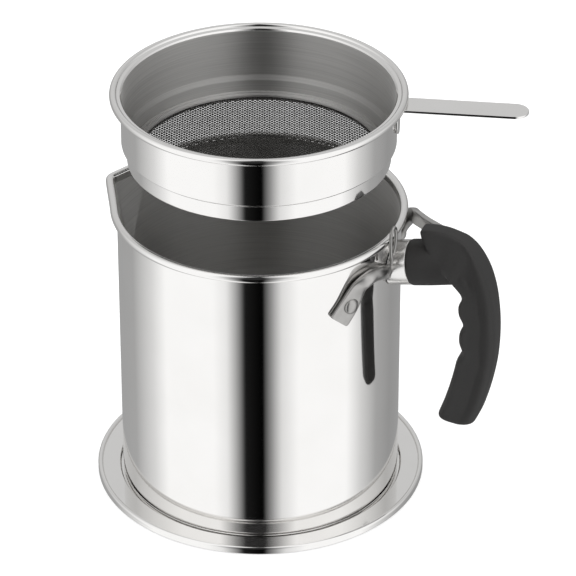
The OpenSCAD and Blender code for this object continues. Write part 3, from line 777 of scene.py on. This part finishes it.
class GREASE_OT_loop(bpy.types.Operator):
    """Make the small wire loop on the ferrule"""
    bl_idname = "grease.loop"
    bl_label = "Wire loop"

    def execute(self, context):
        low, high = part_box("rim_loop")
        wire, sides, tilt = 0.75 * MM, 20, math.radians(-9.5)
        # the wire stands up from the ferrule, runs round a long bow and comes back to its own stem; each knot
        # is (place across the bow, depth below its top)
        knots = np.array(((-1.6, 17.8), (-1.5, 14.5), (-2.1, 11.5), (-2.2, 6), (-2, 2.2), (-1.1, 0.5), (0, 0),
                          (1.1, 0.5), (2, 2.2), (2.2, 6), (1.7, 9.5), (0.2, 12.6))) * MM
        knots = np.stack((0 * knots[:, 0], knots[:, 0], high.z - wire - knots[:, 1]), axis=-1)
        path = catmull(knots, np.linspace(0, len(knots) - 1, 120))
        along = unit(np.gradient(path, axis=0))
        side = np.broadcast_to(np.array((1.0, 0, 0)), along.shape)
        third = np.cross(along, side)
        turn = np.linspace(0, FULL_TURN, sides, endpoint=False)[None, :, None]
        rings = path[:, None] + wire * (np.cos(turn) * side[:, None] + np.sin(turn) * third[:, None])
        first = np.broadcast_to(path[0] - along[0] * wire * 0.5, (1, sides, 3))
        last = np.broadcast_to(path[-1] + along[-1] * wire * 0.5, (1, sides, 3))
        middle = (low + high) / 2
        grid = spun(np.concatenate((first, rings, last)), tilt) + np.array((middle.x, middle.y, 0))
        dress(surface("wire_loop", grid, [satin_rod()]), "pot", "arm_steel", "rim_loop")
        return {"FINISHED"}


class GREASE_OT_hidden(bpy.types.Operator):
    """Finish the stud and the insert, which lie inside the neck"""
    bl_idname = "grease.hidden"
    bl_label = "Hidden parts"

    def execute(self, context):
        for node, finish in (("tang_stud", satin_rod()), ("grip_insert", turned_brass())):
            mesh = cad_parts[node].data
            mesh.materials.clear()
            mesh.materials.append(finish)
        return {"FINISHED"}


# ---- strainer ----


class GREASE_OT_bowl(bpy.types.Operator):
    """Make the strainer's bowl: rolled rim, upper band, slope, lower band and the flange for the mesh"""
    bl_idname = "grease.bowl"
    bl_label = "Strainer bowl"

    def execute(self, context):
        bowl = settings().grease_strainer
        sheet = bowl.sheet
        ledge_z = bowl.rim_z - bowl.band_drop
        slope_z = ledge_z - bowl.step
        flange_top = bowl.foot + sheet
        rim_at = (bowl.outside - bowl.rim, bowl.rim_z)
        roll = arc(rim_at, bowl.rim, -165, 160, 40)
        band_in, lower_in = bowl.band - sheet, bowl.lower - sheet
        inside = rounded([(roll[-1][0], roll[-1][1], 0),
                          (band_in + 0.9 * MM, bowl.rim_z + 0.35 * MM, 0.5 * MM),
                          (band_in, bowl.rim_z - 0.6 * MM, 0.8 * MM),
                          (band_in, ledge_z + sheet / 2, 0.7 * MM),
                          (lower_in, slope_z + sheet / 2, 0.7 * MM),
                          (lower_in, flange_top, 0.5 * MM), (bowl.flange, flange_top, 0)])
        outside = rounded([(bowl.flange, bowl.foot, 0), (bowl.lower, bowl.foot, 0.9 * MM),
                           (bowl.lower, slope_z, 0.5 * MM), (bowl.band, ledge_z, 0.5 * MM),
                           (bowl.band, bowl.rim_z - 0.35 * MM, 0.3 * MM),
                           (roll[0][0], bowl.rim_z - 0.35 * MM, 0)])
        inner = braced(np.concatenate((roll, inside[1:])))
        outline = np.concatenate((inner, braced(np.concatenate((inner[-1:], outside)))[1:]))
        # the inside is brushed, from below the rolled rim down to the flange
        reach = band_in + 0.3 * MM
        strip = ((outline[:, 0] < reach) & (outline[:, 1] > flange_top + 0.05 * MM)
                 & (np.arange(len(outline)) < len(inner))).astype(int)
        piece = surface("strainer_bowl", turned(outline), [polished_stainless(), brushed_band()], strip,
                        wrap_rows=True)
        dress(piece, "strainer", "strainer_steel", "strainer_shell")
        return {"FINISHED"}


class GREASE_OT_weave(bpy.types.Operator):
    """Make the woven mesh and the ring that clamps it"""
    bl_idname = "grease.weave"
    bl_label = "Mesh"

    def execute(self, context):
        bowl = settings().grease_strainer
        gap, pressed = 0.3 * MM, 0.27 * MM
        reach = bowl.lower - bowl.sheet - gap
        level = bowl.foot + bowl.sheet + gap
        count = int(reach / bowl.pitch)
        wires = np.arange(-count, count + 1)
        offset = (wires * bowl.pitch)[:, None]
        half = np.sqrt(reach ** 2 - offset ** 2)
        steps = np.arange(-count - 1, count + 2)[None, :]
        along = np.clip(steps * bowl.pitch, -half, half)
        inside = np.abs(steps * bowl.pitch) < half
        # a wire passes over and under its neighbours in turn, and the other set does the opposite
        wave = np.where((wires[:, None] + steps) % 2 == 0, 1, -1) * inside * bowl.wire / 2
        corner = np.radians((45, 135, 225, 315))
        across, up = np.cos(corner) * bowl.wire / 2, np.sin(corner) * bowl.wire / 2
        # under the ring the weave is pressed flat between ring and flange
        clamped = np.hypot(along, offset) > bowl.flange - gap
        press = np.where(clamped, pressed / bowl.wire, 1.0)
        wave, up = wave * press, up * press[..., None]
        shape = along.shape + (4,)
        first = np.stack((np.broadcast_to(along[..., None], shape),
                          np.broadcast_to((offset + 0 * along)[..., None] + across, shape),
                          level + wave[..., None] + up), axis=-1)
        second = np.stack((first[..., 1], first[..., 0], level - wave[..., None] + up), axis=-1)
        samples = along.shape[1]
        tube = grid_faces(samples, 4)
        last = 4 * samples - 4
        caps = np.array(((3, 2, 1, 0), (last, last + 1, last + 2, last + 3)))
        one = np.concatenate((tube, caps))
        starts = np.arange(2 * len(wires)) * samples * 4
        faces = (one[None] + starts[:, None, None]).reshape(-1, 4)
        points = spun(np.concatenate((first.reshape(-1, 3), second.reshape(-1, 3))), bowl.weave_turn)
        weave = make_mesh("strainer_weave", points, faces, [drawn_wire()])
        dress(weave, "strainer", "mesh_wire", "strainer_mesh")

        low, high = RING_LOW.z, RING_HIGH.z
        inner, outer = bowl.flange, bowl.lower - bowl.sheet - 0.1 * MM
        middle = (inner + outer) / 2
        # the ring's top has two ridges and a valley
        outline = rounded([(middle, low, 0), (inner, low, 0.15 * MM), (inner, high - 0.3 * MM, 0.4 * MM),
                           (inner + 0.7 * MM, high, 0.4 * MM), (middle - 0.5 * MM, high, 0.4 * MM),
                           (middle, high - 0.7 * MM, 0.3 * MM), (middle + 0.5 * MM, high, 0.4 * MM),
                           (outer, high, 0.3 * MM), (outer, low, 0.15 * MM), (middle, low, 0)])
        ring = surface("weave_ring", turned(braced(outline)), [brushed_band()], wrap_rows=True)
        dress(ring, "strainer", "strainer_steel", "mesh_ring")
        return {"FINISHED"}


class GREASE_OT_strap(bpy.types.Operator):
    """Make the strainer's flat strap and its leg"""
    bl_idname = "grease.strap"
    bl_label = "Strap"

    def execute(self, context):
        bowl = settings().grease_strainer
        half_w, half_t, edge = bowl.strap_width / 2, bowl.strap_sheet / 2, 0.35 * MM
        bend, weld_gap = 1.6 * MM, 0.05 * MM
        weld_at, weld_r, weld_deep = 5.5 * MM, 2.2 * MM, 0.3 * MM
        leg_r = bowl.band + weld_gap + half_t
        strap_z = STRAP_HIGH.z - half_t
        straight = STRAP_HIGH.z - bowl.leg
        rise = strap_z - bend - straight
        quarter = bend * math.pi / 2
        total = rise + quarter + bowl.strap_reach - leg_r - bend
        # outline of the flat blank: two straight sides and two round ends, as (distance along, across)
        angle = np.linspace(-math.pi / 2, math.pi / 2, 41)
        tip = np.stack((total - half_w + half_w * np.cos(angle), half_w * np.sin(angle)), axis=-1)
        foot = np.stack((half_w - half_w * np.cos(angle), -half_w * np.sin(angle)), axis=-1)
        side = np.linspace(0, 1, 90)[1:-1, None]
        back, forth = tip[-1] + side * (foot[0] - tip[-1]), foot[-1] + side * (tip[0] - foot[-1])
        outline = np.concatenate((tip, back, foot, forth))
        spine = np.stack((np.clip(outline[:, 0], half_w, total - half_w), 0 * outline[:, 0]), axis=-1)
        # rings run from the spine of one face, round the edge, to the spine of the other face
        steps = 13
        shares = np.linspace(0, 1, steps + 1)
        round_edge = np.radians(np.linspace(90, -90, steps))
        inset = np.concatenate((np.full(steps, edge), edge * (1 - np.cos(round_edge)), np.full(steps, edge)))
        sine = np.sin(round_edge)
        edge_level = (half_t - edge) * np.sign(np.round(sine, 6)) + edge * sine
        level = np.concatenate((np.full(steps, half_t), edge_level, np.full(steps, -half_t)))
        share = np.concatenate((shares[:-1], np.ones(steps), shares[-2::-1]))
        reach = (half_w - inset) / half_w * share
        blank = spine[None] + reach[:, None, None] * (outline - spine)[None]
        along, across = blank[..., 0], blank[..., 1]
        # the weld leaves a dimple in the outer face of the leg
        dimple = np.clip(1 - ((along - weld_at) ** 2 + across ** 2) / weld_r ** 2, 0, 1)
        level = level[:, None] - (level > 0)[:, None] * weld_deep * dimple ** 2
        # the blank is bent: up the leg, round a quarter bend, and out
        turn = np.clip((along - rise) / bend, 0, math.pi / 2)
        out = np.maximum(along - rise - quarter, 0)
        radius = leg_r + bend * (1 - np.cos(turn)) + out
        height = straight + np.minimum(along, rise) + bend * np.sin(turn)
        radius = radius + level * np.cos(turn)
        height = height - level * np.sin(turn)
        hug = (leg_r - np.sqrt(leg_r ** 2 - across ** 2)) * np.cos(turn)
        grid = spun(np.stack((radius - hug, across, height), axis=-1), bowl.strap_turn)
        dress(surface("strap", grid, [polished_stainless()]), "strainer", "strap_steel", "strainer_handle")
        return {"FINISHED"}


# ---- studio ----


# brightness of the cards round the pot, as (degrees from the camera, brightness), below and above the horizon
LOW_CARDS = ((-180, 0.32), (-125, 0.38), (-98, 0.7), (-82, 1.0), (-38, 1.0), (-27, 0.86), (-19, 0.4),
             (-12, 0.01), (3, 0.0), (10, 0.3), (18, 0.75), (32, 1.0), (76, 1.0), (92, 0.66), (112, 0.38),
             (135, 0.3), (180, 0.32))
HIGH_CARDS = ((-180, 0.6), (-130, 0.55), (-95, 0.8), (-70, 1.0), (-34, 1.0), (-20, 0.3), (-12, 0.03),
              (4, 0.02), (14, 0.35), (30, 1.0), (72, 1.0), (100, 0.75), (130, 0.5), (180, 0.6))


def tone_ramp(tree, share, cards):
    """Grey ramp over the whole turn through the cards."""
    ramp = add(tree, "ShaderNodeValToRGB", {0: share})
    points = ramp.color_ramp.elements
    while len(points) < len(cards):
        points.new(0.5)
    for point, (place, tone) in zip(points, cards):
        point.position = (place + 180) / 360
        point.color = (tone, tone, tone, 1)
    return ramp.outputs[0]


def studio_tone(tree, direction):
    """Brightness of the studio in a direction: black flag at the camera, white beside it, grey behind."""
    turn = settings().grease_studio.turn
    axes = ((math.cos(turn), math.sin(turn), 0), (math.sin(turn), -math.cos(turn), 0))
    beside, facing = (add(tree, "ShaderNodeVectorMath", {0: direction, 1: axis}, operation="DOT_PRODUCT")
                      for axis in axes)
    angle = add(tree, "ShaderNodeMath", {0: beside.outputs["Value"], 1: facing.outputs["Value"]},
                operation="ARCTAN2").outputs[0]
    share = add(tree, "ShaderNodeMapRange", {"Value": angle, "From Min": -math.pi, "From Max": math.pi})
    low, high = (tone_ramp(tree, share.outputs[0], cards) for cards in (LOW_CARDS, HIGH_CARDS))
    height = add(tree, "ShaderNodeSeparateXYZ", {0: direction}).outputs[2]
    above = add(tree, "ShaderNodeMapRange", {"Value": height, "From Min": -0.05, "From Max": 0.25})
    mix = add(tree, "ShaderNodeMix", {0: above.outputs[0], 6: low, 7: high}, data_type="RGBA")
    return mix.outputs[2]


def white_sheet():
    """Matt floor that keeps the shadow: what the camera sees of it is lifted towards white."""
    def build(tree, looks):
        path = add(tree, "ShaderNodeLightPath")
        matt = add(tree, "ShaderNodeBsdfDiffuse", {"Color": linear("#D0D0D0")})
        glow = add(tree, "ShaderNodeEmission", {"Color": linear("#FFFFFF"), "Strength": 0.45})
        seen = add(tree, "ShaderNodeAddShader", {0: matt.outputs[0], 1: glow.outputs[0]})
        return add(tree, "ShaderNodeMixShader", {0: path.outputs["Is Camera Ray"], 1: matt.outputs[0],
                                                 2: seen.outputs[0]})
    return noded("studio_floor", build)


class GREASE_OT_studio(bpy.types.Operator):
    """Set up the floor, the soft light and the camera"""
    bl_idname = "grease.studio"
    bl_label = "Studio"

    def execute(self, context):
        studio = settings().grease_studio
        scene = context.scene
        scene.view_settings.view_transform = "Standard"

        half = studio.floor
        level = -0.1 * MM
        floor_mesh = bpy.data.meshes.new("floor")
        floor_mesh.from_pydata([(-half, -half, level), (half, -half, level), (half, half, level),
                                (-half, half, level)], [], [(0, 1, 2, 3)])
        floor = bpy.data.objects.new("floor", floor_mesh)
        scene.collection.objects.link(floor)
        floor_mesh.materials.append(white_sheet())
        # steel shows the cards all round it, and not where they meet the floor
        floor.visible_glossy = False

        world = scene.world or bpy.data.worlds.new("studio")
        scene.world = world
        world.use_nodes = True
        tree = world.node_tree
        tree.nodes.clear()
        path = add(tree, "ShaderNodeLightPath")
        direction = add(tree, "ShaderNodeTexCoord").outputs["Generated"]
        soft = add(tree, "ShaderNodeBackground", {"Color": linear("#FFFFFF"), "Strength": 0.6})
        white = add(tree, "ShaderNodeBackground", {"Color": linear("#FFFFFF"), "Strength": 1.0})
        cards = add(tree, "ShaderNodeBackground", {"Color": studio_tone(tree, direction), "Strength": 1.08})
        mixed = add(tree, "ShaderNodeMixShader", {0: path.outputs["Is Glossy Ray"], 1: soft.outputs[0],
                                                  2: cards.outputs[0]})
        mixed = add(tree, "ShaderNodeMixShader", {0: path.outputs["Is Camera Ray"], 1: mixed.outputs[0],
                                                  2: white.outputs[0]})
        add(tree, "ShaderNodeOutputWorld", {0: mixed.outputs[0]})

        # one wide lamp above lights the handle and the floor, and steel doesn't mirror it
        spot, target = Vector((0.1, 0.1, 2.0)), Vector((0, 0, 0.08))
        lamp = bpy.data.lights.new("overhead", "AREA")
        lamp.shape, lamp.size, lamp.energy = "DISK", 2.6, 40
        light = bpy.data.objects.new("overhead", lamp)
        light.location = spot
        light.visible_glossy = False
        light.rotation_euler = (spot - target).to_track_quat("Z", "Y").to_euler()
        scene.collection.objects.link(light)

        lens = bpy.data.cameras.new("camera")
        lens.lens, lens.sensor_width, lens.clip_end = studio.focal, 36, 20
        camera = bpy.data.objects.new("camera", lens)
        camera.location = studio.camera
        flat = math.cos(studio.tilt)
        back = Vector((math.sin(studio.turn) * flat, -math.cos(studio.turn) * flat, math.sin(studio.tilt)))
        camera.rotation_euler = back.to_track_quat("Z", "Y").to_euler()
        scene.collection.objects.link(camera)
        scene.camera = camera
        return {"FINISHED"}


class GREASE_PT_panel(bpy.types.Panel):
    """Lists the pieces"""
    bl_idname = "GREASE_PT_panel"
    bl_label = "Grease pot"
    bl_space_type = "VIEW_3D"
    bl_region_type = "UI"
    bl_category = "Grease pot"

    def draw(self, context):
        for operator in OPERATORS:
            self.layout.operator(operator.bl_idname)


GROUPS = {"grease_tray": TraySizes, "grease_pot": PotSizes, "grease_handle": HandleSizes,
          "grease_strainer": StrainerSizes, "grease_finish": Finishes, "grease_studio": StudioSettings}
OPERATORS = (GREASE_OT_tray, GREASE_OT_pot, GREASE_OT_arms, GREASE_OT_rivets, GREASE_OT_ferrule,
             GREASE_OT_grip, GREASE_OT_loop, GREASE_OT_hidden, GREASE_OT_bowl, GREASE_OT_weave,
             GREASE_OT_strap, GREASE_OT_studio)


def register():
    """Registers the groups, the operators and the panel."""
    for name, group in GROUPS.items():
        bpy.utils.register_class(group)
        setattr(bpy.types.Scene, name, PointerProperty(type=group))
    for operator in OPERATORS:
        bpy.utils.register_class(operator)
    bpy.utils.register_class(GREASE_PT_panel)


def unregister():
    """Takes them away again."""
    bpy.utils.unregister_class(GREASE_PT_panel)
    for operator in OPERATORS:
        bpy.utils.unregister_class(operator)
    for name, group in GROUPS.items():
        delattr(bpy.types.Scene, name)
        bpy.utils.unregister_class(group)


def main():
    """Makes every piece, then the studio."""
    register()
    for operator in OPERATORS:
        group, name = operator.bl_idname.split(".")
        getattr(getattr(bpy.ops, group), name)()


if __name__ == "__main__":
    main()
